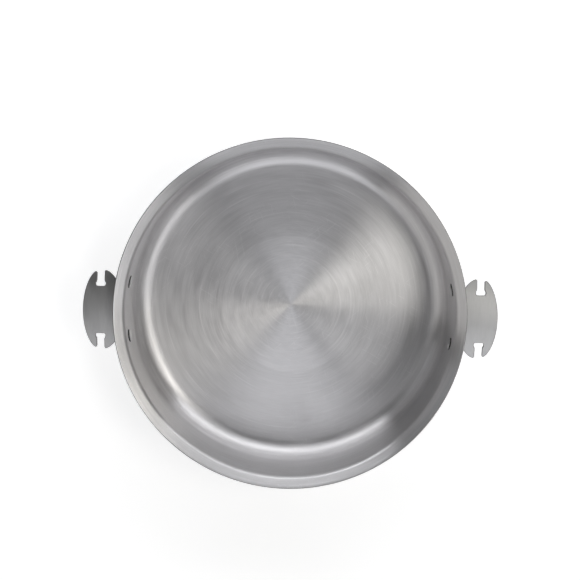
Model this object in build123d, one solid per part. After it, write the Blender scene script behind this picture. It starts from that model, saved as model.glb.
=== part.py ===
from build123d import *
import math
import os

# Saute pan of 28 cm with a bonded base and two riveted brackets for detachable handles.
# Millimetres. +Z is up, the pan stands on Z = 0 about the Z axis, and the brackets lie along X.

# Drawn steel body
INNER_DIAMETER = 280.0
INNER_DEPTH = 75.0
SHEET = 1.2
CORNER_RADIUS = 16.0
FLARE_RADIUS = 4.5
FLARE_ANGLE = 60.0
LIP_STRAIGHT = 7.4

# Bonded base: an aluminium disc inside a magnetic steel cap
CORE_THICKNESS = 5.0
CORE_EDGE_RADIUS = 3.0
CAP_SHEET = 0.8
BASE_MARGIN = 2.5

# Bracket, pressed from one plate
PLATE_THICKNESS = 2.5
PLATE_OUTER_WIDTH = 15.2
PLATE_INNER_WIDTH = 20.0
PLATE_HALF_LENGTH = 34.9
PLATE_REACH = 35.2
PLATE_BELOW_RIM = 10.0
PLATE_CROWN_RADIUS = 170.0
NECK_HALF_LENGTH = 26.5
NECK_ROUND = 1.5
BEND_RADIUS = 1.5
FLANGE_HALF_LENGTH = 30.0
FLANGE_HEIGHT = 18.5
FLANGE_CORNER = 8.0
SHOULDER_BELOW_PLATE = 7.0
SHOULDER_CORNER = 2.5

# Keyed slot, one in each end of a bracket
SLOT_WIDTH = 6.2
SLOT_KEY_WIDTH = 8.2
SLOT_KEY_HEIGHT = 4.6
SLOT_KEY_ROUND = 1.5
SLOT_FLOORS_APART = 41.0
SLOT_FROM_PLATE_TIP = 15.0

# Solid rivets, two to a bracket
RIVETS_APART = 46.8
RIVET_BELOW_PLATE = 10.5
RIVET_SHANK = 5.0
RIVET_HOLE_CLEARANCE = 0.05
RIVET_HEAD = 11.0
RIVET_HEAD_HEIGHT = 2.0
RIVET_HEAD_DOME = 1.5
RIVET_TAIL = 8.0
RIVET_TAIL_HEIGHT = 2.2
RIVET_TAIL_DOME = 1.2

# Sizes that follow from those above
INNER_RADIUS = INNER_DIAMETER / 2
OUTER_RADIUS = INNER_RADIUS + SHEET
FLOOR_RADIUS = INNER_RADIUS - CORNER_RADIUS
FLOOR_UNDERSIDE = CAP_SHEET + CORE_THICKNESS
FLOOR_TOP = FLOOR_UNDERSIDE + SHEET
FLARE = math.radians(FLARE_ANGLE)
LIP_HEIGHT = FLARE_RADIUS * math.sin(FLARE) + LIP_STRAIGHT * math.cos(FLARE)
RIM_TOP = FLOOR_TOP + INNER_DEPTH
FLARE_START = RIM_TOP - LIP_HEIGHT
CAP_RADIUS = FLOOR_RADIUS - BASE_MARGIN
CORE_RADIUS = CAP_RADIUS - CAP_SHEET
PLATE_TOP = RIM_TOP - PLATE_BELOW_RIM
PLATE_TIP = OUTER_RADIUS + PLATE_REACH
PLATE_CENTRE = PLATE_TIP - PLATE_OUTER_WIDTH
FLANGE_RADIUS = OUTER_RADIUS + PLATE_THICKNESS
FLANGE_FOOT = PLATE_TOP - FLANGE_HEIGHT
SHOULDER_HEIGHT = FLANGE_HEIGHT - SHOULDER_BELOW_PLATE
SLOT_CENTRE = PLATE_TIP - SLOT_FROM_PLATE_TIP
SLOT_FLOOR = SLOT_FLOORS_APART / 2
RIVET_HEIGHT = PLATE_TOP - RIVET_BELOW_PLATE
RIVET_HALF_ANGLE = math.degrees(math.asin(RIVETS_APART / 2 / INNER_RADIUS))
HOLE_RADIUS = RIVET_SHANK / 2 + RIVET_HOLE_CLEARANCE

SIDES = {"left": 180.0, "right": 0.0}
RIVETS = {"upper": 1, "lower": -1}


def body_side(offset):
    """One side of the body's section, offset outwards from the inside face."""
    lean = Vector(math.sin(FLARE), 0, math.cos(FLARE))
    floor_edge = Vector(FLOOR_RADIUS, 0, FLOOR_TOP - offset)
    wall_foot = Vector(INNER_RADIUS + offset, 0, FLOOR_TOP + CORNER_RADIUS)
    wall_top = Vector(INNER_RADIUS + offset, 0, FLARE_START)
    corner = (CORNER_RADIUS + offset) * math.sqrt(0.5)
    corner_middle = Vector(FLOOR_RADIUS + corner, 0, FLOOR_TOP + CORNER_RADIUS - corner)
    radius = FLARE_RADIUS - offset
    flare_centre = Vector(INNER_RADIUS + FLARE_RADIUS, 0, FLARE_START)
    half, full = FLARE / 2, FLARE
    flare_middle = flare_centre + Vector(-radius * math.cos(half), 0, radius * math.sin(half))
    flare_end = flare_centre + Vector(-radius * math.cos(full), 0, radius * math.sin(full))
    lip_end = flare_end + lean * LIP_STRAIGHT
    edges = [
        Line((0, 0, FLOOR_TOP - offset), floor_edge),
        ThreePointArc(floor_edge, corner_middle, wall_foot),
        Line(wall_foot, wall_top),
        ThreePointArc(wall_top, flare_middle, flare_end),
        Line(flare_end, lip_end),
    ]
    return edges, lip_end


def turned(edges):
    """The solid that a closed section in the XZ plane makes when it is turned about Z."""
    return Solid.revolve(Face(Wire(edges)), 360, Axis.Z)


def pan_body():
    """The drawn body: floor, rounded corner, upright wall and flared pouring lip."""
    inside, inside_end = body_side(0)
    outside, outside_end = body_side(SHEET)
    lean = Vector(math.sin(FLARE), 0, math.cos(FLARE))
    edge_crown = (inside_end + outside_end) * 0.5 + lean * (SHEET / 2)
    section = [
        *inside,
        ThreePointArc(inside_end, edge_crown, outside_end),
        *outside,
        Line((0, 0, FLOOR_UNDERSIDE), (0, 0, FLOOR_TOP)),
    ]
    body = turned(section)
    for angle in SIDES.values():
        for hole in rivet_holes(angle):
            body -= hole
    return body


def base_core():
    """The aluminium disc that spreads the heat, with its lower edge rounded to lie in the cap."""
    edge = CORE_RADIUS - CORE_EDGE_RADIUS
    round_middle = CORE_EDGE_RADIUS * math.sqrt(0.5)
    middle = (edge + round_middle, 0, CAP_SHEET + CORE_EDGE_RADIUS - round_middle)
    return turned([
        Line((0, 0, FLOOR_UNDERSIDE), (0, 0, CAP_SHEET)),
        Line((0, 0, CAP_SHEET), (edge, 0, CAP_SHEET)),
        ThreePointArc((edge, 0, CAP_SHEET), middle, (CORE_RADIUS, 0, CAP_SHEET + CORE_EDGE_RADIUS)),
        Line((CORE_RADIUS, 0, CAP_SHEET + CORE_EDGE_RADIUS), (CORE_RADIUS, 0, FLOOR_UNDERSIDE)),
        Line((CORE_RADIUS, 0, FLOOR_UNDERSIDE), (0, 0, FLOOR_UNDERSIDE)),
    ])


def base_cap():
    """The magnetic steel cap: a shallow cup, pressed over the disc up to the body's underside."""
    outer_round = CORE_EDGE_RADIUS + CAP_SHEET
    edge = CAP_RADIUS - outer_round
    round_middle = outer_round * math.sqrt(0.5)
    middle = (edge + round_middle, 0, outer_round - round_middle)
    cup = turned([
        Line((0, 0, FLOOR_UNDERSIDE), (0, 0, 0)),
        Line((0, 0, 0), (edge, 0, 0)),
        ThreePointArc((edge, 0, 0), middle, (CAP_RADIUS, 0, outer_round)),
        Line((CAP_RADIUS, 0, outer_round), (CAP_RADIUS, 0, FLOOR_UNDERSIDE)),
        Line((CAP_RADIUS, 0, FLOOR_UNDERSIDE), (0, 0, FLOOR_UNDERSIDE)),
    ])
    return cup - base_core()


def rivet_frames(angle):
    """The place of each rivet on one side: origin on the pan's axis, Z outwards along the rivet."""
    frames = {}
    for name, sense in RIVETS.items():
        turn = math.radians(angle + sense * RIVET_HALF_ANGLE * math.cos(math.radians(angle)))
        outwards = Vector(math.cos(turn), math.sin(turn), 0)
        frames[name] = Plane(origin=(0, 0, RIVET_HEIGHT), x_dir=(0, 0, 1), z_dir=outwards)
    return frames


def rivet_holes(angle):
    """The holes through wall and flange for the two rivets on one side."""
    start = INNER_RADIUS - SHEET
    length = FLANGE_RADIUS + SHEET - start
    hole = Cylinder(HOLE_RADIUS, length, align=(Align.CENTER, Align.CENTER, Align.MIN))
    return [frame * (Pos(0, 0, start) * hole) for frame in rivet_frames(angle).values()]


def head_outline(radius, height, dome, seat, sense):
    """The outline of a low domed head from its rim's foot to its crown, on a seat at that distance out."""
    side = seat + sense * (height - dome)
    ball = (radius**2 + dome**2) / (2 * dome)
    middle_radius = radius / 2
    middle = seat + sense * (height - ball + math.sqrt(ball**2 - middle_radius**2))
    foot = seat - sense * SHEET / 2
    return [
        Line((radius, 0, foot), (radius, 0, side)),
        ThreePointArc((radius, 0, side), (middle_radius, 0, middle), (0, 0, seat + sense * height)),
    ], foot


def rivet(frame):
    """A solid rivet whose two heads are pressed to the curve of the wall and of the flange."""
    head, head_foot = head_outline(
        RIVET_HEAD / 2, RIVET_HEAD_HEIGHT, RIVET_HEAD_DOME, INNER_RADIUS, -1
    )
    tail, tail_foot = head_outline(
        RIVET_TAIL / 2, RIVET_TAIL_HEIGHT, RIVET_TAIL_DOME, FLANGE_RADIUS, 1
    )
    shank = RIVET_SHANK / 2
    blank = turned([
        *head,
        Line((RIVET_HEAD / 2, 0, head_foot), (shank, 0, head_foot)),
        Line((shank, 0, head_foot), (shank, 0, tail_foot)),
        Line((shank, 0, tail_foot), (RIVET_TAIL / 2, 0, tail_foot)),
        *tail,
        Line((0, 0, INNER_RADIUS - RIVET_HEAD_HEIGHT), (0, 0, FLANGE_RADIUS + RIVET_TAIL_HEIGHT)),
    ])
    height = 2 * RIVET_HEAD
    grip = Cylinder(FLANGE_RADIUS, height) - Cylinder(INNER_RADIUS, height)
    grip = Pos(0, 0, RIVET_HEIGHT) * grip
    core = Cylinder(shank, 2 * FLANGE_RADIUS, align=(Align.CENTER, Align.CENTER, Align.MIN))
    return frame * blank - (grip - frame * core)


def plan_outline():
    """The bracket seen from above: an oval, flatter outside, and the neck under the lip to the wall."""
    outside = Rectangle(2 * PLATE_OUTER_WIDTH, 3 * PLATE_HALF_LENGTH, align=(Align.MIN, Align.CENTER))
    outer_half = Ellipse(PLATE_OUTER_WIDTH, PLATE_HALF_LENGTH) & outside
    inner_half = Ellipse(PLATE_INNER_WIDTH, PLATE_HALF_LENGTH) - outside
    oval = Pos(PLATE_CENTRE, 0, 0) * (outer_half + inner_half)
    neck_length = PLATE_CENTRE - INNER_RADIUS
    neck = Rectangle(neck_length, 2 * NECK_HALF_LENGTH, align=(Align.MIN, Align.CENTER))
    outline = oval + Pos(INNER_RADIUS, 0, 0) * neck
    inner_corners = [
        corner for corner in outline.vertices() if OUTER_RADIUS < corner.X < PLATE_CENTRE - NECK_ROUND
    ]
    return fillet(inner_corners, NECK_ROUND)


def slot_cutter():
    """The keyed slot in the +Y end: a straight throat that widens to a floor with round corners."""
    throat, key = SLOT_WIDTH / 2, SLOT_KEY_WIDTH / 2
    mouth = 2 * PLATE_HALF_LENGTH
    shoulder = SLOT_FLOOR + SLOT_KEY_HEIGHT
    outline = Polygon(
        (-throat, mouth),
        (-throat, shoulder),
        (-key, shoulder - SLOT_KEY_WIDTH + SLOT_WIDTH),
        (-key, SLOT_FLOOR),
        (key, SLOT_FLOOR),
        (key, shoulder - SLOT_KEY_WIDTH + SLOT_WIDTH),
        (throat, shoulder),
        (throat, mouth),
        align=None,
    )
    outline = fillet(outline.vertices().group_by(Axis.Y)[0], SLOT_KEY_ROUND)
    return Pos(SLOT_CENTRE, 0, 0) * extrude(outline, amount=RIM_TOP)


def crown(radius):
    """A round bar along X that the plate's faces follow, so that its tips lie lower than its middle."""
    axis = Plane(origin=(0, 0, PLATE_TOP - PLATE_CROWN_RADIUS), z_dir=(1, 0, 0))
    return axis * Cylinder(radius, 4 * PLATE_TIP)


def bracket_plate():
    """The crowned oval plate with its neck."""
    plate = extrude(plan_outline(), amount=2 * RIM_TOP)
    return (plate & crown(PLATE_CROWN_RADIUS)) - crown(PLATE_CROWN_RADIUS - PLATE_THICKNESS)


def bracket_flange():
    """The curved flange that lies against the wall: a rounded foot, and the neck that rises from it."""
    foot = Rectangle(2 * FLANGE_HALF_LENGTH, SHOULDER_HEIGHT, align=(Align.CENTER, Align.MIN))
    foot = fillet(foot.vertices().group_by(Axis.Y)[0], FLANGE_CORNER)
    foot = fillet(foot.vertices().group_by(Axis.Y)[-1], SHOULDER_CORNER)
    neck = Rectangle(2 * NECK_HALF_LENGTH, RIM_TOP, align=(Align.CENTER, Align.MIN))
    rise = SHOULDER_HEIGHT - SHOULDER_CORNER
    upright = Plane(origin=(0, 0, FLANGE_FOOT), x_dir=(0, 1, 0), z_dir=(1, 0, 0))
    prism = extrude(upright * (foot + Pos(0, rise, 0) * neck), amount=2 * OUTER_RADIUS)
    shell = Pos(0, 0, RIM_TOP) * Cylinder(FLANGE_RADIUS, 2 * RIM_TOP)
    return (shell & prism) & crown(PLATE_CROWN_RADIUS)


def bracket():
    """One bracket on the +X side: crowned plate and curved flange, joined by a bend, with two keyed slots."""
    body = bracket_plate() + bracket_flange()
    body -= Pos(0, 0, RIM_TOP) * Cylinder(OUTER_RADIUS, 2 * RIM_TOP)
    body = fillet(bend_edges(body, OUTER_RADIUS, PLATE_TOP), BEND_RADIUS + PLATE_THICKNESS)
    body = fillet(bend_edges(body, FLANGE_RADIUS, PLATE_TOP - PLATE_THICKNESS), BEND_RADIUS)
    slot = slot_cutter()
    return body - slot - mirror(slot, Plane.XZ)


def bend_edges(body, radius, height):
    """The edges where the plate meets the flange: on a cylinder of that radius, at that height in the middle."""
    found = ShapeList()
    for edge in body.edges():
        middle = edge @ 0.5
        on_cylinder = abs(math.hypot(middle.X, middle.Y) - radius) < SHEET / 10
        if on_cylinder and abs(middle.Y) < 1 and abs(middle.Z - height) < SHEET / 2:
            found.append(edge)
    return found


def main():
    """Builds every piece and writes each to its own file."""
    os.makedirs("parts", exist_ok=True)
    pieces = {"pan_body": pan_body(), "base_core": base_core(), "base_cap": base_cap()}
    for side, angle in SIDES.items():
        pressed = Rot(0, 0, angle) * bracket()
        for hole in rivet_holes(angle):
            pressed -= hole
        pieces[f"{side}_bracket"] = pressed
        for name, frame in rivet_frames(angle).items():
            pieces[f"{side}_{name}_rivet"] = rivet(frame)
    for name, piece in pieces.items():
        export_step(piece, f"parts/{name}.step")
        print(name, len(piece.solids()), round(piece.volume, 1))


main()
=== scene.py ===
"""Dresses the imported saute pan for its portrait.

The pan is a turned steel body on a bonded base, with a pressed bracket riveted to each side, on which
a detachable handle clips. Every piece is built in the frame's own coordinates, in metres: +Z is up
along the pan's axis, and the brackets lie along X.
"""

import logging
import math
from dataclasses import dataclass
from enum import Enum

import bmesh
import bpy
from mathutils import Matrix, Vector


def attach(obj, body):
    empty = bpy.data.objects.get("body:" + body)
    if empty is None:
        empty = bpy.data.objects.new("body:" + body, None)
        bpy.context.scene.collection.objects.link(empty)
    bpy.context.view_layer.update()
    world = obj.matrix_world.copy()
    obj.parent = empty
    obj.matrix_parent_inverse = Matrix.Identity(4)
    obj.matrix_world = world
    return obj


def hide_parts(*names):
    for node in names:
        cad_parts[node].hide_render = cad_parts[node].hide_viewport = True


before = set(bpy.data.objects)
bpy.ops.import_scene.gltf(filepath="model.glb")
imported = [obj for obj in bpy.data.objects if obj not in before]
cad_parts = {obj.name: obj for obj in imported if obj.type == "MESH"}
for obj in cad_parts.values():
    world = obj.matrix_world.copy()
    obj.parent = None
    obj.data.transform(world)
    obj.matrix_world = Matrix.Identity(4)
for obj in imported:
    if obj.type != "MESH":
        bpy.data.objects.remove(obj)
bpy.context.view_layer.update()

ROOT = "root"
MM = 0.001
# Name of the point attribute that marks where a surface is painted darker, as painted edge shade on lips,
# rivet heads and plate edges
PAINTED_EDGE_SHADE = "painted_edge_shade"
LOG = logging.getLogger("saute_pan")


def placed(name: str, data: bpy.types.ID) -> bpy.types.Object:
    """Makes an object of a mesh, lamp or camera and links it to the scene.

    Args:
        name: Name of the object.
        data: Its mesh, lamp or camera.

    Returns:
        The object.
    """
    made = bpy.data.objects.new(name, data)
    bpy.context.scene.collection.objects.link(made)
    return made


class Side(Enum):
    """A side of the pan that carries a bracket, with the sense of X towards it."""

    LEFT = -1
    RIGHT = 1

    @property
    def title(self) -> str:
        """The word for this side in the names of pieces."""
        return self.name.lower()


class Row(Enum):
    """One of a bracket's two rivets, with the sense of Y towards it."""

    UPPER = 1
    LOWER = -1

    @property
    def title(self) -> str:
        """The word for this rivet in the names of pieces."""
        return self.name.lower()


class Grain(Enum):
    """The way in which a steel surface was brushed."""

    RINGS = "rings about the pan's axis"
    STRAIGHT = "straight lines along Y"
    NONE = "polished or blasted, with no direction"


# Flat paths

class Path:
    """A flat path of lines and arcs, kept as points."""

    def __init__(self, x: float, y: float) -> None:
        """Starts the path at a point.

        Args:
            x: First coordinate of the start.
            y: Second coordinate of the start.
        """
        self.points = [Vector((x, y))]

    def line(self, x: float, y: float, steps: int = 1) -> "Path":
        """Draws a straight line to a point.

        Args:
            x: First coordinate of the end.
            y: Second coordinate of the end.
            steps: Number of equal stretches in the line.

        Returns:
            The path itself.
        """
        start, end = self.points[-1], Vector((x, y))
        self.points += [start.lerp(end, step / steps) for step in range(1, steps + 1)]
        return self

    def arc(self, centre: tuple[float, float], turn: float, steps: int) -> "Path":
        """Draws an arc from the last point.

        Args:
            centre: Centre of the arc.
            turn: Angle of the arc in degrees, counterclockwise if positive.
            steps: Number of equal stretches in the arc.

        Returns:
            The path itself.
        """
        middle = Vector(centre)
        spoke = self.points[-1] - middle
        for step in range(1, steps + 1):
            turned = Matrix.Rotation(math.radians(turn * step / steps), 2) @ spoke
            self.points.append(middle + turned)
        return self


def rounded_loop(corners: list[tuple[Vector, float]], steps: int) -> list[Vector]:
    """Rounds the corners of a closed flat outline.

    Args:
        corners: Each corner of the outline, with the radius of its rounding, or 0 for none.
        steps: Number of stretches in each rounding.

    Returns:
        The points of the rounded outline.
    """
    points = []
    for index, (corner, radius) in enumerate(corners):
        before = corners[index - 1][0] - corner
        after = corners[(index + 1) % len(corners)][0] - corner
        turn = math.pi - before.angle(after)
        if radius == 0 or turn < 1e-4:
            points.append(corner)
            continue
        reach = radius * math.tan(turn / 2)
        centre = corner + (before.normalized() + after.normalized()).normalized() * math.hypot(radius, reach)
        start = corner + before.normalized() * reach - centre
        sweep = math.copysign(turn, (-before).cross(after))
        points += [centre + Matrix.Rotation(sweep * step / steps, 2) @ start for step in range(steps + 1)]
    return points


# Node trees

class Tree:
    """A node tree under construction, with short calls for its nodes and links."""

    def __init__(self, tree: bpy.types.NodeTree) -> None:
        """Takes hold of a tree.

        Args:
            tree: The tree to build in.
        """
        self.tree = tree

    @classmethod
    def of(cls, owner: bpy.types.Material | bpy.types.World) -> "Tree":
        """Empties the node tree of a material or world and takes hold of it.

        Args:
            owner: The material or world.

        Returns:
            Its empty tree.
        """
        owner.use_nodes = True
        owner.node_tree.nodes.clear()
        return cls(owner.node_tree)

    @classmethod
    def group(cls, kind: str, name: str, inputs: dict[str, tuple], outputs: dict[str, str]) -> "Tree":
        """Starts a node group with named sockets.

        Args:
            kind: Type of the node tree.
            name: Name of the group.
            inputs: Socket type and default value of each input, or None for no default.
            outputs: Socket type of each output.

        Returns:
            The group, with its input and output nodes in place.
        """
        made = cls(bpy.data.node_groups.new(name, kind))
        for title, (socket, default) in inputs.items():
            item = made.tree.interface.new_socket(title, in_out="INPUT", socket_type=socket)
            if default is not None:
                item.default_value = default
        for title, socket in outputs.items():
            made.tree.interface.new_socket(title, in_out="OUTPUT", socket_type=socket)
        made.inputs = made.node("NodeGroupInput").outputs
        made.outputs = made.node("NodeGroupOutput").inputs
        return made

    def node(self, kind: str, links: dict | None = None, **settings: object) -> bpy.types.Node:
        """Adds a node.

        Args:
            kind: Type of the node.
            links: Value or source socket for each input, by the input's name or number.
            settings: Properties of the node.

        Returns:
            The new node.
        """
        made = self.tree.nodes.new(kind)
        for title, value in settings.items():
            setattr(made, title, value)
        for title, value in (links or {}).items():
            self.feed(value, made.inputs[title])
        return made

    def feed(self, value: object, socket: bpy.types.NodeSocket) -> None:
        """Links a source socket to an input, or sets the input to a plain value.

        Args:
            value: Source socket, or the plain value.
            socket: The input.
        """
        if isinstance(value, bpy.types.NodeSocket):
            self.tree.links.new(value, socket)
        else:
            socket.default_value = value

    def math(self, operation: str, *values: object, clamp: bool = False) -> bpy.types.NodeSocket:
        """Adds a Math node.

        Args:
            operation: Name of the operation.
            values: Value or source socket for each operand.
            clamp: Whether the result is held between 0 and 1.

        Returns:
            The socket with the result.
        """
        links = dict(enumerate(values))
        return self.node("ShaderNodeMath", links, operation=operation, use_clamp=clamp).outputs[0]

    def vector(self, operation: str, *values: object) -> bpy.types.Node:
        """Adds a Vector Math node.

        Args:
            operation: Name of the operation.
            values: Value or source socket for each operand.

        Returns:
            The new node.
        """
        return self.node("ShaderNodeVectorMath", dict(enumerate(values)), operation=operation)

    def scaled(self, vector: object, scale: object) -> bpy.types.NodeSocket:
        """Scales a vector.

        Args:
            vector: Value or source socket of the vector.
            scale: Value or source socket of the factor.

        Returns:
            The socket with the result.
        """
        return self.node("ShaderNodeVectorMath", {0: vector, "Scale": scale}, operation="SCALE").outputs[0]

    def parts(self, vector: object) -> dict[str, bpy.types.NodeSocket]:
        """Splits a vector, and gives its parts under X, Y and Z."""
        return self.node("ShaderNodeSeparateXYZ", {0: vector}).outputs

    def joined(self, x: object = 0.0, y: object = 0.0, z: object = 0.0) -> bpy.types.NodeSocket:
        """Joins three values or source sockets into a vector."""
        return self.node("ShaderNodeCombineXYZ", {"X": x, "Y": y, "Z": z}).outputs[0]

    def noise(self, place: bpy.types.NodeSocket, scale: float, detail: float,
              rough: float) -> bpy.types.NodeSocket:
        """Adds a noise texture.

        Args:
            place: Socket with the place to read it at.
            scale: Scale of the noise.
            detail: Number of finer layers.
            rough: Share of the finer layers.

        Returns:
            The socket with its value from 0 to 1.
        """
        links = {"Vector": place, "Scale": scale, "Detail": detail, "Roughness": rough}
        return self.node("ShaderNodeTexNoise", links).outputs["Fac"]

    def spread(self, value: bpy.types.NodeSocket, low: object, high: object,
               start: float = 0.0, end: float = 1.0) -> bpy.types.NodeSocket:
        """Maps a value smoothly onto another range.

        Args:
            value: Socket with the value.
            low: Result at the start of the value's range.
            high: Result at the end of the value's range.
            start: Start of the value's range.
            end: End of the value's range.

        Returns:
            The socket with the result.
        """
        links = {"Value": value, "From Min": start, "From Max": end, "To Min": low, "To Max": high}
        return self.node("ShaderNodeMapRange", links, interpolation_type="SMOOTHSTEP").outputs["Result"]


# Surface effects shared by the finishes

# Each layer of a grain: its output, the input with its density and its number of finer layers
GRAIN_LAYERS = (("Fine", "Lines", 4.0), ("Broad", "Bands", 2.0))

# Where the painted corner highlight, painted wall shade and painted lip highlight of the turned body blend
# into each other, in metres
CORNER_RADII = (0.122, 0.130)
WALL_HEIGHTS = (0.018, 0.027)
LIP_HEIGHTS = (0.074, 0.077)

# Directions of the crossing scratches, in radians about Z
SCRATCH_TURNS = (0.5, 1.3, 2.4)


class Effects:
    """The shader groups that more than one finish uses, each built once."""

    _made: dict[str, bpy.types.NodeTree] = {}

    @classmethod
    def get(cls, name: str) -> bpy.types.NodeTree:
        """Gives a shader group, and builds it the first time.

        Args:
            name: Name of the effect: ring_grain, line_grain, zones_and_painted_light or handling.

        Returns:
            The group's node tree.
        """
        if name not in cls._made:
            cls._made[name] = getattr(cls, name)()
        return cls._made[name]

    @staticmethod
    def ring_grain() -> bpy.types.NodeTree:
        """Brushing in circles about Z.

        Returns:
            A group that takes a place and gives the grain and its broad rings.
        """
        made = Tree.group(
            "ShaderNodeTree", "Ring grain",
            {"Place": ("NodeSocketVector", None), "Lines": ("NodeSocketFloat", 1500.0),
             "Bands": ("NodeSocketFloat", 200.0), "Arc": ("NodeSocketFloat", 3.0)},
            {"Fine": "NodeSocketFloat", "Broad": "NodeSocketFloat"},
        )
        parts = made.parts(made.inputs["Place"])
        flat = made.joined(parts["X"], parts["Y"])
        radius = made.vector("LENGTH", flat).outputs["Value"]
        along = made.math("ADD", radius, parts["Z"])
        spoke = made.vector("NORMALIZE", flat).outputs[0]
        swept = made.parts(made.scaled(spoke, made.inputs["Arc"]))
        for title, density, detail in GRAIN_LAYERS:
            line = made.math("MULTIPLY", along, made.inputs[density])
            place = made.joined(swept["X"], swept["Y"], line)
            made.feed(made.noise(place, 1.0, detail, 0.6), made.outputs[title])
        return made.tree

    @staticmethod
    def line_grain() -> bpy.types.NodeTree:
        """Brushing in straight lines along Y.

        Returns:
            A group that takes a place and gives the grain and its broad bands.
        """
        made = Tree.group(
            "ShaderNodeTree", "Line grain",
            {"Place": ("NodeSocketVector", None), "Lines": ("NodeSocketFloat", 1500.0),
             "Bands": ("NodeSocketFloat", 200.0), "Stretch": ("NodeSocketFloat", 40.0)},
            {"Fine": "NodeSocketFloat", "Broad": "NodeSocketFloat"},
        )
        parts = made.parts(made.inputs["Place"])
        along = made.math("MULTIPLY", parts["Y"], made.inputs["Stretch"])
        for title, density, detail in GRAIN_LAYERS:
            across = made.math("MULTIPLY", parts["X"], made.inputs[density])
            upright = made.math("MULTIPLY", parts["Z"], made.inputs[density])
            made.feed(made.noise(made.joined(across, along, upright), 1.0, detail, 0.6), made.outputs[title])
        return made.tree

    @staticmethod
    def zones_and_painted_light() -> bpy.types.NodeTree:
        """Masks over the turned body: a middle disc and narrow rings where one pass of the brush ends, which
        are tone, and the corner, wall and lip, which carry a painted highlight, painted shade and a painted
        highlight.

        Returns:
            A group that takes a place and gives masks of the middle, corner, wall, lip and narrow rings.
        """
        made = Tree.group(
            "ShaderNodeTree", "Zones and painted light",
            {"Place": ("NodeSocketVector", None), "Disc": ("NodeSocketFloat", 0.062),
             "Wander": ("NodeSocketFloat", 0.0025)},
            {"Middle": "NodeSocketFloat", "Corner": "NodeSocketFloat", "Wall": "NodeSocketFloat",
             "Lip": "NodeSocketFloat", "Rings": "NodeSocketFloat"},
        )
        flat = made.vector("MULTIPLY", made.inputs["Place"], (1.0, 1.0, 0.0)).outputs[0]
        radius = made.vector("LENGTH", flat).outputs["Value"]
        height = made.parts(made.inputs["Place"])["Z"]
        outer = made.spread(radius, 0.0, 1.0, *CORNER_RADII)
        low = made.spread(height, 1.0, 0.0, *WALL_HEIGHTS)
        made.feed(made.math("MULTIPLY", outer, low), made.outputs["Corner"])
        high = made.spread(height, 1.0, 0.0, *LIP_HEIGHTS)
        wall = made.math("MULTIPLY", made.math("SUBTRACT", 1.0, low), high)
        made.feed(made.math("MULTIPLY", wall, outer), made.outputs["Wall"])
        made.feed(made.math("SUBTRACT", 1.0, high), made.outputs["Lip"])
        wander = made.math("SUBTRACT", made.noise(flat, 14.0, 1.0, 0.5), 0.5)
        radius = made.math("MULTIPLY_ADD", wander, made.inputs["Wander"], radius)
        inside = made.math("SUBTRACT", made.inputs["Disc"], radius)
        made.feed(made.spread(inside, 0.0, 1.0, -0.0015, 0.0015), made.outputs["Middle"])
        rings = made.noise(made.joined(radius), 420.0, 1.0, 0.5)
        rings = made.spread(rings, 0.0, 1.0, 0.54, 0.64)
        arcs = made.spread(made.noise(flat, 30.0, 2.0, 0.5), 0.0, 1.0, 0.42, 0.6)
        made.feed(made.math("MULTIPLY", rings, arcs), made.outputs["Rings"])
        return made.tree

    @staticmethod
    def handling() -> bpy.types.NodeTree:
        """Faint smudges and hairline scratches from use and wiping.

        Returns:
            A group that takes a place and gives a smudge mask and a scratch mask, both from 0 to 1.
        """
        made = Tree.group(
            "ShaderNodeTree", "Handling marks",
            {"Place": ("NodeSocketVector", None), "Smudge scale": ("NodeSocketFloat", 18.0),
             "Scratch scale": ("NodeSocketFloat", 90.0)},
            {"Smudges": "NodeSocketFloat", "Scratches": "NodeSocketFloat"},
        )
        place = made.inputs["Place"]
        smudge = made.noise(made.scaled(place, made.inputs["Smudge scale"]), 1.0, 3.0, 0.55)
        made.feed(made.spread(smudge, 0.0, 1.0, 0.38, 0.68), made.outputs["Smudges"])
        patches = made.spread(made.noise(place, 16.0, 1.0, 0.5), 0.0, 1.0, 0.42, 0.6)
        masks = []
        for turn in SCRATCH_TURNS:
            tilted = made.node("ShaderNodeVectorRotate", {"Vector": place, "Angle": turn},
                               rotation_type="Z_AXIS")
            drawn = made.vector("MULTIPLY", tilted.outputs[0], (0.5, 9.0, 9.0)).outputs[0]
            line = made.noise(made.scaled(drawn, made.inputs["Scratch scale"]), 1.0, 2.0, 0.7)
            masks.append(made.spread(line, 0.0, 1.0, 0.62, 0.72))
        crossed = made.math("MAXIMUM", made.math("MAXIMUM", masks[0], masks[1]), masks[2])
        made.feed(made.math("MULTIPLY", crossed, patches), made.outputs["Scratches"])
        return made.tree


# Finishes

# How much lighter or darker than the floor each zone of the turned body is painted, in parts of a finish's
# zones: the middle and rings are tone, the corner and lip get a painted highlight and the wall painted shade
ZONE_TONES_AND_PAINTED_LIGHT = (("Middle", 1.4), ("Rings", 1.2), ("Corner", 1.2), ("Wall", -1.0), ("Lip", 0.4))


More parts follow.
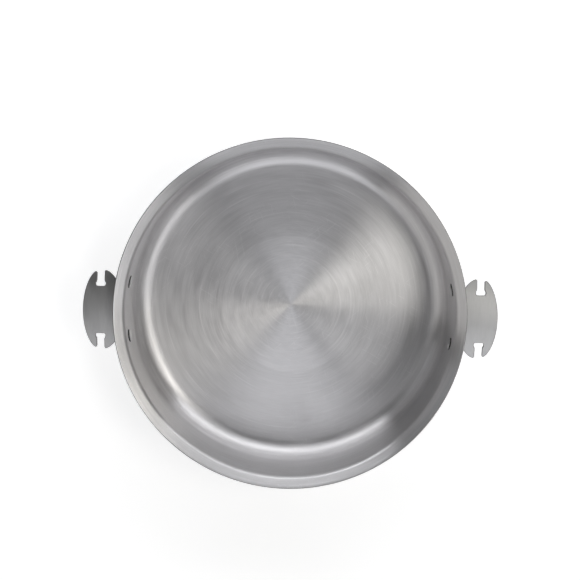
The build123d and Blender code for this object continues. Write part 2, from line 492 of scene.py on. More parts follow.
@dataclass(frozen=True)
class MetalFinish:
    """A metal surface: its colour, how it was brushed, how used it looks, and the light and shade painted on
    its zones and edges.
    """

    name: str
    colour: tuple[float, float, float]
    roughness: float
    roughness_spread: float
    anisotropy: float
    grain: Grain
    lines: float = 1500.0
    bands: float = 220.0
    shade_spread: float = 0.05
    depth: float = 0.02
    smudges: float = 0.03
    scratches: float = 0.05
    zone_tone_and_painted_light: float = 0.0
    painted_edge_shade: float = 0.0

    def material(self) -> bpy.types.Material:
        """Builds the material of this finish.

        Returns:
            A procedural material that reads object coordinates.
        """
        made = bpy.data.materials.new(self.name)
        tree = Tree.of(made)
        place = tree.node("ShaderNodeTexCoord").outputs["Object"]
        shader = tree.node("ShaderNodeBsdfPrincipled", {"Metallic": 1.0, "Anisotropic": self.anisotropy})
        densities = {"Place": place, "Lines": self.lines, "Bands": self.bands}
        if self.grain is Grain.RINGS:
            grain = self._effect(tree, "ring_grain", densities)
            spoke = tree.vector("MULTIPLY", place, (1.0, 1.0, 0.0)).outputs[0]
            around = tree.vector("CROSS_PRODUCT", (0.0, 0.0, 1.0), spoke).outputs[0]
            tree.feed(tree.vector("NORMALIZE", around).outputs[0], shader.inputs["Tangent"])
            shader.inputs["Anisotropic Rotation"].default_value = 0.25
        else:
            grain = self._effect(tree, "line_grain", densities)
            tree.feed(tree.joined(1.0), shader.inputs["Tangent"])
        marks = self._effect(tree, "handling", {"Place": place})
        shade = self._shade(tree, grain, marks)
        # Painted light: the corner and lip get a painted highlight and the wall painted shade; the middle
        # disc and rings are tone.
        if self.zone_tone_and_painted_light:
            masks = self._effect(tree, "zones_and_painted_light", {"Place": place})
            for zone, share in ZONE_TONES_AND_PAINTED_LIGHT:
                shade = tree.math("MULTIPLY_ADD", masks[zone], share * self.zone_tone_and_painted_light, shade)
        # Painted shade: points marked as edges are painted darker.
        if self.painted_edge_shade:
            edge = tree.node("ShaderNodeAttribute", attribute_name=PAINTED_EDGE_SHADE).outputs["Fac"]
            kept = tree.math("MULTIPLY_ADD", edge, -self.painted_edge_shade, 1.0)
            shade = tree.math("MULTIPLY", shade, kept)
        tree.feed(tree.scaled(self.colour, shade), shader.inputs["Base Color"])
        self._roughness(tree, grain, marks, shader)
        height = tree.math("MULTIPLY_ADD", marks["Scratches"], -self.scratches, grain["Fine"])
        bump = tree.node("ShaderNodeBump", {"Height": height, "Strength": 1.0, "Distance": self.depth * MM})
        tree.feed(bump.outputs["Normal"], shader.inputs["Normal"])
        tree.node("ShaderNodeOutputMaterial", {"Surface": shader.outputs["BSDF"]})
        return made

    @staticmethod
    def _effect(tree: Tree, name: str, links: dict) -> dict[str, bpy.types.NodeSocket]:
        """Places a shared effect in the material and gives its outputs by name."""
        node = tree.node("ShaderNodeGroup", node_tree=Effects.get(name))
        for title, value in links.items():
            tree.feed(value, node.inputs[title])
        return node.outputs

    def _shade(self, tree: Tree, grain: dict, marks: dict) -> bpy.types.NodeSocket:
        """Gives the steel's shade about 1, a little lighter and darker along the grain and the scratches."""
        mixed = tree.math("MULTIPLY_ADD", grain["Fine"], 0.5, tree.math("MULTIPLY", grain["Broad"], 0.5))
        shade = tree.spread(mixed, 1.0 - self.shade_spread, 1.0 + self.shade_spread, 0.3, 0.7)
        return tree.math("MULTIPLY_ADD", marks["Scratches"], self.scratches, shade)

    def _roughness(self, tree: Tree, grain: dict, marks: dict, shader: bpy.types.Node) -> None:
        """Feeds the roughness: varied by the broad rings or bands, and higher under smudges."""
        low, high = self.roughness - self.roughness_spread, self.roughness + self.roughness_spread
        value = tree.spread(grain["Broad"], low, high, 0.3, 0.7)
        value = tree.math("MULTIPLY_ADD", marks["Smudges"], self.smudges, value)
        tree.feed(value, shader.inputs["Roughness"])


# The body's zone share paints a highlight on the corner and lip and shade on the wall; its edge share paints
# shade on the lip's outer edge.
BODY_STEEL = MetalFinish(
    "body_steel", (0.62, 0.612, 0.618), roughness=0.3, roughness_spread=0.025, anisotropy=0.95,
    grain=Grain.RINGS, depth=0.008, shade_spread=0.08, scratches=0.1, zone_tone_and_painted_light=0.08, painted_edge_shade=0.75,
)
BASE_STEEL = MetalFinish(
    "base_steel", (0.58, 0.58, 0.57), roughness=0.36, roughness_spread=0.05, anisotropy=0.8,
    grain=Grain.RINGS, lines=900.0, bands=260.0, depth=0.04,
)
# Its edge share paints shade on the plate's rounded edges.
BRACKET_STEEL = MetalFinish(
    "bracket_steel", (0.42, 0.419, 0.422), roughness=0.36, roughness_spread=0.04, anisotropy=0.35,
    grain=Grain.STRAIGHT, depth=0.004, painted_edge_shade=0.75,
)
# Its edge share paints shade on the outer part of each head.
RIVET_STEEL = MetalFinish(
    "rivet_steel", (0.6, 0.6, 0.6), roughness=0.28, roughness_spread=0.03, anisotropy=0.0, grain=Grain.NONE,
    depth=0.004, painted_edge_shade=0.9,
)
CORE_ALUMINIUM = MetalFinish(
    "core_aluminium", (0.76, 0.77, 0.78), roughness=0.45, roughness_spread=0.05, anisotropy=0.3,
    grain=Grain.STRAIGHT,
)


# Turned pieces

class Turning:
    """The Geometry Nodes tree that turns a section about an axis into a closed solid."""

    _tree: bpy.types.NodeTree | None = None

    @classmethod
    def tree(cls) -> bpy.types.NodeTree:
        """Gives the tree, and builds it the first time.

        Returns:
            A tree that takes a section in the XZ plane and turns it about Z, tilts it and moves it.
        """
        if cls._tree is None:
            cls._tree = cls._build()
        return cls._tree

    @staticmethod
    def _build() -> bpy.types.NodeTree:
        """Builds the tree: a grid with one column to each section point, wrapped about Z."""
        made = Tree.group(
            "GeometryNodeTree", "Turned solid",
            {"Section": ("NodeSocketGeometry", None), "Segments": ("NodeSocketInt", 256),
             "Tilt": ("NodeSocketRotation", None), "Place": ("NodeSocketVector", None),
             "Finish": ("NodeSocketMaterial", None)},
            {"Geometry": "NodeSocketGeometry"},
        )
        section, segments = made.inputs["Section"], made.inputs["Segments"]
        count = made.node("GeometryNodeAttributeDomainSize", {"Geometry": section}).outputs["Point Count"]
        rows = made.math("ADD", segments, 1.0)
        grid = made.node("GeometryNodeMeshGrid", {"Vertices X": rows, "Vertices Y": count})
        index = made.node("GeometryNodeInputIndex").outputs[0]
        column = made.math("MODULO", index, count)
        # Carries each section point's painted edge shade round the solid.
        mark = made.node("GeometryNodeInputNamedAttribute", {"Name": PAINTED_EDGE_SHADE}, data_type="FLOAT").outputs[0]
        marks = made.node("GeometryNodeSampleIndex", {
            "Geometry": section, "Value": mark, "Index": column,
        }, data_type="FLOAT")
        marked = made.node("GeometryNodeStoreNamedAttribute", {
            "Geometry": grid.outputs["Mesh"], "Name": PAINTED_EDGE_SHADE, "Value": marks.outputs["Value"],
        }, data_type="FLOAT", domain="POINT")
        row = made.math("FLOOR", made.math("DIVIDE", index, count))
        turn = made.math("MULTIPLY", made.math("DIVIDE", row, segments), 2 * math.pi)
        position = made.node("GeometryNodeInputPosition").outputs[0]
        point = made.node("GeometryNodeSampleIndex", {
            "Geometry": section, "Value": position, "Index": column,
        }, data_type="FLOAT_VECTOR")
        wrapped = made.node("ShaderNodeVectorRotate", {
            "Vector": point.outputs["Value"], "Angle": turn,
        }, rotation_type="Z_AXIS")
        shaped = made.node("GeometryNodeSetPosition", {
            "Geometry": marked.outputs[0], "Position": wrapped.outputs[0],
        })
        closed = made.node("GeometryNodeMergeByDistance", {
            "Geometry": shaped.outputs[0], "Distance": 0.001 * MM,
        })
        moved = made.node("GeometryNodeTransform", {
            "Geometry": closed.outputs[0], "Translation": made.inputs["Place"],
            "Rotation": made.inputs["Tilt"],
        })
        smooth = made.node("GeometryNodeSetShadeSmooth", {"Geometry": moved.outputs[0]})
        real = made.node("GeometryNodeRealizeInstances", {"Geometry": smooth.outputs[0]})
        dressed = made.node("GeometryNodeSetMaterial", {
            "Geometry": real.outputs[0], "Material": made.inputs["Finish"],
        })
        made.feed(dressed.outputs[0], made.outputs["Geometry"])
        return made.tree

    @classmethod
    def make(cls, name: str, section: list[Vector], edge_shade_radius: float, finish: MetalFinish, segments: int,
             tilt: tuple = (0.0, 0.0, 0.0), place: tuple = (0.0, 0.0, 0.0)) -> bpy.types.Object:
        """Turns a section into a finished piece.

        Args:
            name: Name of the piece.
            section: Points of the section as radius and height, from axis to axis, in millimetres.
            edge_shade_radius: Radius from which the surface is painted darker, as painted edge shade, in
                millimetres.
            finish: The piece's finish.
            segments: Number of steps around.
            tilt: Rotation of the turned solid, as Euler angles.
            place: Place of the turned solid, in metres.

        Returns:
            The piece, as a plain mesh object at the origin.
        """
        area = sum(start.cross(end) for start, end in zip(section, section[1:] + section[:1]))
        if area < 0:
            section = section[::-1]
        mesh = bpy.data.meshes.new(name)
        edges = [(index, index + 1) for index in range(len(section) - 1)]
        mesh.from_pydata([(point.x * MM, 0.0, point.y * MM) for point in section], edges, [])
        # Painted edge shade: points past that radius are marked to be painted darker.
        edge_shade = mesh.attributes.new(PAINTED_EDGE_SHADE, "FLOAT", "POINT")
        edge_shade.data.foreach_set("value", [min(1.0, max(0.0, 2 * (point.x - edge_shade_radius))) for point in section])
        piece = placed(name, mesh)
        modifier = piece.modifiers.new("Turning", "NODES")
        modifier.node_group = cls.tree()
        values = {"Segments": segments, "Tilt": tilt, "Place": place, "Finish": finish_material(finish)}
        for item in cls.tree().interface.items_tree:
            if item.name in values and item.in_out == "INPUT":
                modifier[item.identifier] = values[item.name]
        turned = piece.evaluated_get(bpy.context.evaluated_depsgraph_get())
        piece.data = bpy.data.meshes.new_from_object(turned)
        piece.data.name = name
        piece.modifiers.clear()
        piece.data.materials.clear()
        piece.data.materials.append(finish_material(finish))
        piece.data.polygons.foreach_set("material_index", [0] * len(piece.data.polygons))
        bpy.data.meshes.remove(mesh)
        return piece


_materials: dict[str, bpy.types.Material] = {}


def finish_material(finish: MetalFinish) -> bpy.types.Material:
    """Gives the material of a finish, built once.

    Args:
        finish: The finish.

    Returns:
        Its material.
    """
    if finish.name not in _materials:
        _materials[finish.name] = finish.material()
    return _materials[finish.name]


def settle(piece: bpy.types.Object, finish: MetalFinish, *nodes: str) -> bpy.types.Object:
    """Puts a finished piece in the place of its CAD nodes.

    Args:
        piece: The piece, in place.
        finish: Its finish, which is not used.
        nodes: The CAD nodes that it stands for.

    Returns:
        The piece.
    """
    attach(piece, ROOT)
    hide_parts(*nodes)
    return piece


@dataclass
class PanBody:
    """The drawn steel body: floor, rounded corner, upright wall and flared pouring lip. In millimetres."""

    inner_radius: float = 140.0
    floor_top: float = 7.0
    rim_top: float = 82.0
    sheet: float = 1.2
    corner: float = 16.0
    flare_radius: float = 4.5
    flare_angle: float = 60.0
    lip: float = 7.4
    # Width of the painted edge shade along the lip's outer edge.
    edge_shade_width: float = 0.8
    segments: int = 384
    finish: MetalFinish = BODY_STEEL

    @property
    def outer_radius(self) -> float:
        """Radius of the wall's outside."""
        return self.inner_radius + self.sheet

    def section(self) -> list[Vector]:
        """Draws the body's section.

        Returns:
            Points from the middle of the floor out over the lip and back under the floor.
        """
        lean = Vector((math.sin(math.radians(self.flare_angle)), math.cos(math.radians(self.flare_angle))))
        flare_start = self.rim_top - self.flare_radius * lean.x - self.lip * lean.y
        flare_centre = (self.inner_radius + self.flare_radius, flare_start)
        floor_radius = self.inner_radius - self.corner
        corner_centre = (floor_radius, self.floor_top + self.corner)
        path = Path(0.0, self.floor_top)
        path.line(floor_radius - 1.0, self.floor_top, 31).line(floor_radius, self.floor_top)
        path.arc(corner_centre, 90.0, 28)
        path.line(self.inner_radius, flare_start - 1.0, 6).line(self.inner_radius, flare_start)
        path.arc(flare_centre, -self.flare_angle, 14)
        lip_end = path.points[-1] + lean * self.lip
        path.line(*lip_end, 4)
        back = Vector((lean.y, -lean.x)) * self.sheet
        path.arc(tuple(lip_end + back / 2), -180.0, 12)
        path.line(*(lip_end + back - lean * self.lip), 4)
        path.arc(flare_centre, self.flare_angle, 12)
        path.line(self.outer_radius, corner_centre[1], 8)
        path.arc(corner_centre, -90.0, 28)
        path.line(0.0, self.floor_top - self.sheet, 16)
        return path.points

    def build(self) -> bpy.types.Object:
        """Builds and dresses the body.

        Returns:
            The piece.
        """
        section = self.section()
        edge_shade_radius = max(point.x for point in section) - self.edge_shade_width
        piece = Turning.make("steel_body", section, edge_shade_radius, self.finish, self.segments)
        return settle(piece, self.finish, "pan_body")


@dataclass
class BondedBase:
    """The base under the body: a magnetic steel cap around an aluminium disc. In millimetres."""

    radius: float = 121.5
    height: float = 5.8
    sheet: float = 0.8
    edge_round: float = 3.8
    segments: int = 320
    finish: MetalFinish = BASE_STEEL
    core_finish: MetalFinish = CORE_ALUMINIUM

    def section(self) -> list[Vector]:
        """Draws the cap's section.

        Returns:
            Points from the middle of the underside out and up its edge, and back inside.
        """
        centre = (self.radius - self.edge_round, self.edge_round)
        path = Path(0.0, 0.0)
        path.line(centre[0] - 1.0, 0.0, 24).line(centre[0], 0.0)
        path.arc(centre, 90.0, 12)
        path.line(self.radius, self.height)
        path.line(self.radius - self.sheet, self.height)
        path.line(self.radius - self.sheet, self.edge_round)
        path.arc(centre, -90.0, 8)
        path.line(0.0, self.sheet, 8)
        return path.points

    def build(self) -> list[bpy.types.Object]:
        """Builds the cap, and dresses the disc sealed inside it.

        Returns:
            The cap and the disc.
        """
        cap = Turning.make("base_cap_turned", self.section(), self.radius, self.finish, self.segments)
        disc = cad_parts["base_core"]
        disc.data.materials.clear()
        disc.data.materials.append(finish_material(self.core_finish))
        return [settle(cap, self.finish, "base_cap"), disc]


@dataclass
class Rivet:
    """A solid rivet through wall and flange, with a low domed head inside. In millimetres."""

    side: Side
    row: Row
    height: float = 61.5
    apart: float = 46.8
    seat: float = 140.0
    grip: float = 3.7
    shank: float = 2.5
    head: float = 5.5
    head_height: float = 2.0
    head_dome: float = 1.5
    tail: float = 4.0
    tail_height: float = 2.2
    tail_dome: float = 1.2
    edge_round: float = 0.25
    sink: float = 0.3
    # Width of the painted shade round the outer edge of each head.
    edge_shade_width: float = 1.2
    crown_steps: int = 10
    edge_steps: int = 4
    segments: int = 64
    finish: MetalFinish = RIVET_STEEL

    def section(self) -> list[Vector]:
        """Draws the rivet's section, with its height measured out from the pan's axis.

        Returns:
            Points from the crown of the inner head to the crown of the outer one.
        """
        head = self.dome(self.head, self.head_height, self.head_dome)
        tail = self.dome(self.tail, self.tail_height, self.tail_dome)
        far = self.seat + self.grip
        points = [Vector((x, self.seat - y)) for x, y in head]
        points += [Vector((self.shank, self.seat + self.sink)), Vector((self.shank, far - self.sink))]
        points += [Vector((x, far + y)) for x, y in reversed(tail)]
        return points

    def dome(self, radius: float, height: float, dome: float) -> list[tuple[float, float]]:
        """Draws half of a head.

        Args:
            radius: Radius of the head.
            height: Height of its crown above its seat.
            dome: Height of its domed part.

        Returns:
            Points from its crown to its foot, which is sunk a little into its seat.
        """
        ball = (radius**2 + dome**2) / (2 * dome)
        rim = radius - self.edge_round
        points = []
        for step in range(self.crown_steps + 1):
            out = rim * step / self.crown_steps
            points.append((out, height - ball + math.sqrt(ball**2 - out**2)))
        drop = points[-1][1]
        for step in range(1, self.edge_steps + 1):
            angle = math.radians(90 * step / self.edge_steps)
            out = rim + self.edge_round * math.sin(angle)
            points.append((out, drop - self.edge_round * (1 - math.cos(angle))))
        points.append((radius, -self.sink))
        return points

    def build(self) -> bpy.types.Object:
        """Builds and dresses the rivet.

        Returns:
            The piece.
        """
        node = f"{self.side.title}_{self.row.title}_rivet"
        lean = math.asin(self.apart / 2 / self.seat) * self.row.value
        turn = lean if self.side is Side.RIGHT else math.pi - lean
        tilt, place = (0.0, math.pi / 2, turn), (0.0, 0.0, self.height * MM)
        # The outer part of the head is painted darker, as painted shade.
        edge_shade_radius = self.head - self.edge_shade_width
        name, section = f"{node}_turned", self.section()
        piece = Turning.make(name, section, edge_shade_radius, self.finish, self.segments, tilt, place)
        return settle(piece, self.finish, node)


@dataclass
class Bracket:
    """A bracket pressed from one plate: a crowned oval with two keyed slots, a bend and a curved flange.

    In millimetres. It is drawn flat first, as plan (x, y) over the oval and as height over the flange,
    and then bent over the wall.
    """

    side: Side
    wall: float = 141.2
    thickness: float = 2.5
    top: float = 72.0
    foot: float = 53.5
    tip: float = 176.4
    outer_width: float = 15.2
    inner_width: float = 20.0
    half_length: float = 34.9
    crown: float = 170.0
    bend: float = 4.0
    neck: float = 26.5
    neck_round: float = 1.5
    flange: float = 30.0
    foot_round: float = 8.0
    shoulder_drop: float = 7.0
    shoulder_round: float = 2.5
    slot_from_tip: float = 15.0
    slot_floor: float = 20.5
    slot_width: float = 6.2
    key_width: float = 8.2
    key_height: float = 4.6
    key_round: float = 1.5
    mouth_round: float = 1.3
    edge_round: float = 0.55
    round_steps: int = 5
    strip: float = 2.5
    bend_strip: float = 0.6
    side_strip: float = 2.4
    finish: MetalFinish = BRACKET_STEEL

    def __post_init__(self) -> None:
        """Works out where the flange's height starts on the flat drawing."""
        self.flat_start = self.wall + self.bend - self.bend * math.pi / 2 - (self.top - self.bend)

    def drop(self, y: float) -> float:
        """How far the crowned top lies below its middle at that distance along the plate."""
        return self.crown - math.sqrt(self.crown**2 - y**2)

    def outline(self) -> list[Vector]:
        """Draws the flat outline.

        Returns:
            Points of the rounded outline, counterclockwise.
        """
        slot, throat, key = self.tip - self.slot_from_tip, self.slot_width / 2, self.key_width / 2
        shoulder = self.slot_floor + self.key_height
        slope = shoulder - self.key_width + self.slot_width
        oval_centre = self.tip - self.outer_width
        junction = oval_centre - self.inner_width * math.sqrt(1 - (self.neck / self.half_length) ** 2)
        inner = self.oval_points(junction, slot - throat, outer=False)
        outer = self.oval_points(slot + throat, self.tip, outer=True)
        shoulder_height = self.top - self.shoulder_drop + self.flat_start
        half = [
            (Vector((self.foot + self.flat_start, self.flange)), self.foot_round),
            (Vector((shoulder_height, self.flange)), self.shoulder_round),
            (Vector((shoulder_height, self.neck)), self.edge_round),
            (inner[0], self.neck_round),
        ]
        half += [(point, 0.0) for point in inner[1:-1]]
        half += [
            (inner[-1], self.mouth_round),
            (Vector((slot - throat, shoulder)), self.key_round),
            (Vector((slot - key, slope)), self.key_round / 2),
            (Vector((slot - key, self.slot_floor)), self.key_round),
            (Vector((slot + key, self.slot_floor)), self.key_round),
            (Vector((slot + key, slope)), self.key_round / 2),
            (Vector((slot + throat, shoulder)), self.key_round),
            (outer[0], self.mouth_round),
        ]
        half += [(point, 0.0) for point in outer[1:-1]]
        other = [(Vector((point.x, -point.y)), radius) for point, radius in reversed(half)]
        tip = [(Vector((self.tip, 0.0)), 0.0)]
        return list(reversed(rounded_loop(half + tip + other, self.round_steps)))

    def oval_points(self, start: float, end: float, outer: bool) -> list[Vector]:
        """Samples a stretch of the oval on the +Y side.

        Args:
            start: Distance of its start from the pan's axis.
            end: Distance of its end from the pan's axis.
            outer: Whether the stretch runs round to the tip.

        Returns:
            Its points, the first and last stretches long enough for a rounding.
        """
        centre = self.tip - self.outer_width
        width = self.outer_width if outer else self.inner_width
        first = math.acos((start - centre) / width)
        last = 0.0 if outer else math.acos((end - centre) / width)
        count = 40 if outer else 14
        points = []
        for step in range(count + 1):
            angle = first + (last - first) * step / count
            points.append(Vector((centre + width * math.cos(angle), self.half_length * math.sin(angle))))
        ends = [points[0]] if outer else [points[0], points[-1]]
        room = 2 * self.mouth_round
        kept = [point for point in points[1:-1] if all((point - end).length > room for end in ends)]
        return [points[0], *kept, points[-1]]

    def bent(self, flat: Vector) -> tuple[Vector, Matrix]:
        """Carries a point of the flat drawing to its place on the pan.

        Args:
            flat: Place on the drawing and depth below the upper face.

        Returns:
            The place, and the matrix that turns a direction on the drawing with it.
        """
        x, y, depth = flat
        at_wall = math.sqrt(self.wall**2 - y**2)
        top = self.top - self.drop(y)
        bend_foot = top - self.bend + self.flat_start
        bend_head = at_wall + self.bend
        share = (x - bend_foot) / (bend_head - bend_foot)
        angle = math.pi / 2 * min(1.0, max(0.0, share))
        out = Vector((at_wall / self.wall, y / self.wall, 0.0))
        up = Vector((0.0, y / self.crown, math.sqrt(1 - (y / self.crown) ** 2)))
        face = (up * math.sin(angle) - out * math.cos(angle)).normalized()
        if share <= 0:
            place = Vector((at_wall, y, x - self.flat_start))
        elif share >= 1:
            place = Vector((x, y, top))
        else:
            out_by, down_by = self.bend * (1 - math.cos(angle)), self.bend * (1 - math.sin(angle))
            place = Vector((at_wall + out_by, y, top - down_by))
        forward = Vector((math.sin(angle), 0.0, math.cos(angle)))
        across = face.cross(forward).normalized()
        forward = across.cross(face)
        return place - face * depth, Matrix((forward, across, face)).transposed()

    def flat_solid(self) -> tuple[bmesh.types.BMesh, object]:
        """Builds the flat bracket with rounded edges, cut across so that it can bend.

        Returns:
            The mesh, and the layer with each point's normal.
        """
        shape = bmesh.new()
        edge_shade = shape.verts.layers.float.new(PAINTED_EDGE_SHADE)
        layer = shape.verts.layers.float_vector.new("flat_normal")
        loop = self.outline()
        count = len(loop)
        outwards = []
        for index in range(count):
            along = (loop[(index + 1) % count] - loop[index - 1]).normalized()
            outwards.append(Vector((along.y, -along.x)))
        stations = []
        for step in range(self.round_steps + 1):
            angle = math.pi / 2 * (1 - step / self.round_steps)
            stations.append((angle, self.edge_round * (1 - math.sin(angle))))
        for step in range(self.round_steps + 1):
            angle = math.pi / 2 * step / self.round_steps
            stations.append((-angle, self.thickness - self.edge_round * (1 - math.sin(angle))))
        rings = []
        for angle, depth in stations:
            inset = self.edge_round * (1 - math.cos(angle))
            ring = []
            for point, outward in zip(loop, outwards):
                place = point - outward * inset
                corner = shape.verts.new((place.x, place.y, depth))
                corner[layer] = (*(outward * math.cos(angle)), math.sin(angle))
                # Painted shade: the rounded edges are painted darker towards the plate's cut face.
                corner[edge_shade] = math.cos(angle) ** 0.5
                ring.append(corner)
            rings.append(ring)
        for upper, lower in zip(rings, rings[1:]):
            for index in range(count):
                after = (index + 1) % count
                shape.faces.new((upper[index], upper[after], lower[after], lower[index]))
        for ring in (rings[0], rings[-1]):
            edges = [shape.edges.get((ring[index], ring[(index + 1) % count])) for index in range(count)]
            bmesh.ops.triangle_fill(shape, use_beauty=True, edges=edges)
        self.cut_across(shape)
        return shape, layer

    def cut_across(self, shape: bmesh.types.BMesh) -> None:
        """Cuts the flat bracket into narrow strips both ways.

        Args:
            shape: The flat bracket.
        """
        start, end = self.foot + self.flat_start, self.tip
        bend_foot, bend_head = self.flat_start + self.top - self.bend - 3.0, self.wall + self.bend + 1.0
        cuts = []
        x = start + self.strip
        while x < end - 1:
            cuts.append(((x, 0, 0), (1, 0, 0)))
            x += self.bend_strip if bend_foot < x < bend_head else self.strip
        y = -self.half_length + 2.2
        while y < self.half_length - 1:
            cuts.append(((0, y, 0), (0, 1, 0)))
            y += self.side_strip
        for place, normal in cuts:
            everything = [*shape.verts, *shape.edges, *shape.faces]
            bmesh.ops.bisect_plane(shape, geom=everything, dist=1e-4, plane_co=place, plane_no=normal)

    def build(self) -> bpy.types.Object:
        """Builds and dresses the bracket.

        Returns:
            The piece.
        """
        shape, layer = self.flat_solid()
        half_turn = Matrix.Rotation(0.0 if self.side is Side.RIGHT else math.pi, 3, "Z")
        normals = []
        for corner in shape.verts:
            place, turn = self.bent(corner.co)
            normals.append((half_turn @ (turn @ corner[layer])).normalized())
            corner.co = half_turn @ place * MM
        for face in shape.faces:
            face.smooth = True
        name = f"{self.side.title}_bracket"
        mesh = bpy.data.meshes.new(f"{name}_pressed")
        bmesh.ops.recalc_face_normals(shape, faces=shape.faces)
        if shape.calc_volume(signed=True) < 0:
            bmesh.ops.reverse_faces(shape, faces=shape.faces)
        shape.to_mesh(mesh)
        shape.free()
        mesh.attributes.remove(mesh.attributes["flat_normal"])
        mesh.normals_split_custom_set_from_vertices(normals)
        mesh.materials.append(finish_material(self.finish))
        return settle(placed(f"{name}_pressed", mesh), self.finish, name)


# The studio

@dataclass(frozen=True)
class SoftBox:
    """A soft studio lamp, placed by its direction from the pan. Azimuth 0 is +X and 90 is +Y."""

    name: str
    azimuth: float
    elevation: float
    width: float
    height: float
    power: float
    colour: tuple[float, float, float] = (1.0, 1.0, 1.0)
    distance: float = 1.6

    def build(self, aim: Vector) -> bpy.types.Object:
        """Hangs the lamp.

        Args:
            aim: The point that it faces.

        Returns:
            The lamp.
        """
        lamp = bpy.data.lights.new(self.name, "AREA")
        lamp.shape = "RECTANGLE"
        lamp.size, lamp.size_y = self.width, self.height
        lamp.energy, lamp.color = self.power, self.colour
        hung = placed(self.name, lamp)
        turn, rise = math.radians(self.azimuth), math.radians(self.elevation)
        away = Vector((math.cos(turn) * math.cos(rise), math.sin(turn) * math.cos(rise), math.sin(rise)))
        hung.location = aim + away * self.distance
        hung.rotation_euler = away.to_track_quat("Z", "Y").to_euler()
        return hung


@dataclass(frozen=True)
class PaleSurface:
    """A white studio surface that stays white around the object and keeps its shadow."""

    name: str
    colour: float = 0.8
    near_glow: float = 0.52
    far_glow: float = 1.0
    near: float = 0.45
    far: float = 1.3

    def material(self) -> bpy.types.Material:
        """Builds the surface's material.

        Returns:
            A matt white that also glows to the camera, to reflections and through glass, most far away.
        """
        made = bpy.data.materials.new(self.name)
        tree = Tree.of(made)
        ray = tree.node("ShaderNodeLightPath").outputs
        seen = tree.math("MAXIMUM", ray["Is Camera Ray"], ray["Is Glossy Ray"])
        seen = tree.math("MAXIMUM", seen, ray["Is Transmission Ray"])
        place = tree.node("ShaderNodeTexCoord").outputs["Object"]
        away = tree.vector("LENGTH", place).outputs["Value"]
        level = tree.spread(away, self.near_glow, self.far_glow, self.near, self.far)
        glow = tree.node("ShaderNodeEmission", {"Strength": tree.math("MULTIPLY", seen, level)})
        matt = tree.node("ShaderNodeBsdfDiffuse", {"Color": (self.colour, self.colour, self.colour, 1.0)})
        both = tree.node("ShaderNodeAddShader", {0: glow.outputs[0], 1: matt.outputs[0]})
        tree.node("ShaderNodeOutputMaterial", {"Surface": both.outputs[0]})
        return made


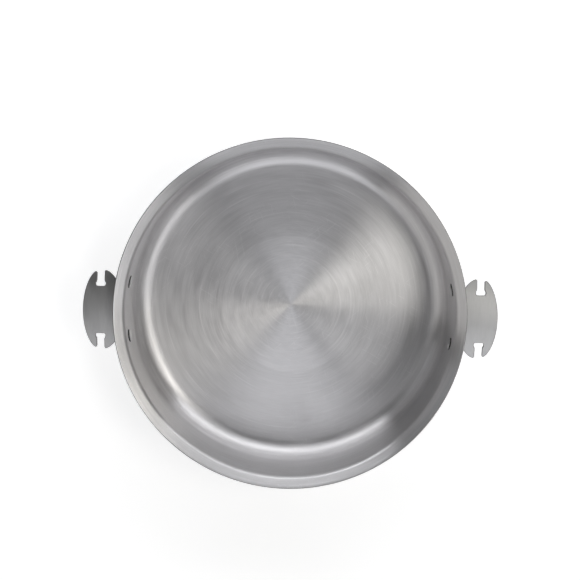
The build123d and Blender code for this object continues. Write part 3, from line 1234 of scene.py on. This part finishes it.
@dataclass
class Studio:
    """The plain white studio: floor, soft lamps, world and camera."""

    floor_size: float = 12.0
    floor_drop: float = 0.05
    zenith: float = 0.04
    horizon: float = 0.45
    horizon_height: float = 0.3
    eye_direction: tuple[float, float, float] = (0.0171, 0.1474, 0.9889)
    eye_distance: float = 1081.6
    aim: tuple[float, float, float] = (0.0, 22.4, 82.0)
    roll: float = 1.34
    lens: float = 79.7
    lamps: tuple[SoftBox, ...] = (
        SoftBox("lamp_back", 86.5, 30.0, 3.4, 0.7, 22.0, (0.97, 0.98, 1.0)),
        SoftBox("lamp_right", 6.0, 63.0, 0.65, 0.45, 3.5, (1.0, 0.985, 0.94)),
        SoftBox("lamp_right_low", 24.0, 64.0, 0.5, 0.45, 0.8, (1.0, 0.985, 0.94)),
        SoftBox("lamp_front_right", 325.0, 52.0, 0.8, 0.5, 3.2),
        SoftBox("lamp_left", 212.0, 30.0, 1.3, 0.6, 1.7, (1.0, 0.985, 0.96)),
        SoftBox("lamp_left_high", 212.0, 52.0, 1.0, 0.5, 1.2, (1.0, 0.985, 0.96)),
        SoftBox("lamp_front", 270.0, 52.0, 1.0, 0.5, 1.8, (0.96, 0.97, 1.0)),
        SoftBox("lamp_front_low", 270.0, 30.0, 1.2, 0.6, 1.0, (0.96, 0.97, 1.0)),
        SoftBox("lamp_front_high", 267.0, 70.0, 0.5, 0.5, 1.3, (0.96, 0.97, 1.0)),
        SoftBox("lamp_left_top", 190.0, 74.0, 0.5, 0.4, 0.22),
        SoftBox("lamp_back_left", 160.0, 30.0, 0.8, 0.6, 0.8, (0.96, 0.97, 1.0)),
    )

    def floor(self) -> bpy.types.Object:
        """Lays the floor just under the pan.

        Returns:
            The floor.
        """
        half, level = self.floor_size / 2, -self.floor_drop * MM
        mesh = bpy.data.meshes.new("studio_floor")
        corners = [(x, y, level) for x, y in ((-half, -half), (half, -half), (half, half), (-half, half))]
        mesh.from_pydata(corners, [], [(0, 1, 2, 3)])
        mesh.materials.append(PaleSurface("studio_white").material())
        laid = placed("studio_floor", mesh)
        return laid

    def world(self) -> bpy.types.World:
        """Makes the world: white to the camera, and a pale horizon under a greyer ceiling for the rest.

        Returns:
            The world.
        """
        made = bpy.data.worlds.new("studio_world")
        tree = Tree.of(made)
        way = tree.node("ShaderNodeTexCoord").outputs["Generated"]
        rise = tree.parts(way)["Z"]
        shade = tree.spread(rise, self.horizon, self.zenith, 0.0, self.horizon_height)
        ray = tree.node("ShaderNodeLightPath").outputs
        seen = tree.math("MAXIMUM", ray["Is Camera Ray"], ray["Is Transmission Ray"])
        strength = tree.math("MAXIMUM", shade, seen)
        sky = tree.node("ShaderNodeBackground", {"Color": (1.0, 1.0, 1.0, 1.0), "Strength": strength})
        tree.node("ShaderNodeOutputWorld", {"Surface": sky.outputs[0]})
        bpy.context.scene.world = made
        return made

    def camera(self) -> bpy.types.Object:
        """Sets up the camera at the photograph's angle.

        Returns:
            The camera.
        """
        lens = bpy.data.cameras.new("portrait")
        lens.lens, lens.sensor_width = self.lens, 36.0
        lens.clip_start, lens.clip_end = 0.01, 100.0
        eye = placed("portrait", lens)
        rim = Vector((0.0, 0.0, self.aim[2])) * MM
        eye.location = rim + Vector(self.eye_direction).normalized() * self.eye_distance * MM
        back = (eye.location - Vector(self.aim) * MM).normalized()
        right = Vector((0.0, 1.0, 0.0)).cross(back).normalized()
        turn = Matrix((right, back.cross(right), back)).transposed()
        turn = turn @ Matrix.Rotation(math.radians(self.roll), 3, "Z")
        eye.rotation_euler = turn.to_euler()
        bpy.context.scene.camera = eye
        return eye

    def build(self) -> None:
        """Builds the whole studio."""
        bpy.context.scene.view_settings.view_transform = "Standard"
        self.floor()
        self.world()
        self.camera()
        for lamp in self.lamps:
            lamp.build(Vector((0.0, 0.0, self.aim[2] * MM)))


def main() -> None:
    """Builds the pan from its floor outwards, then the studio around it."""
    logging.basicConfig(level=logging.INFO, format="%(name)s: %(message)s")
    pieces = [PanBody().build(), *BondedBase().build()]
    for side in Side:
        pieces.append(Bracket(side).build())
        pieces += [Rivet(side, row).build() for row in Row]
    for piece in pieces:
        LOG.info("%s: %d faces", piece.name, len(piece.data.polygons))
    Studio().build()


if __name__ == "__main__":
    main()
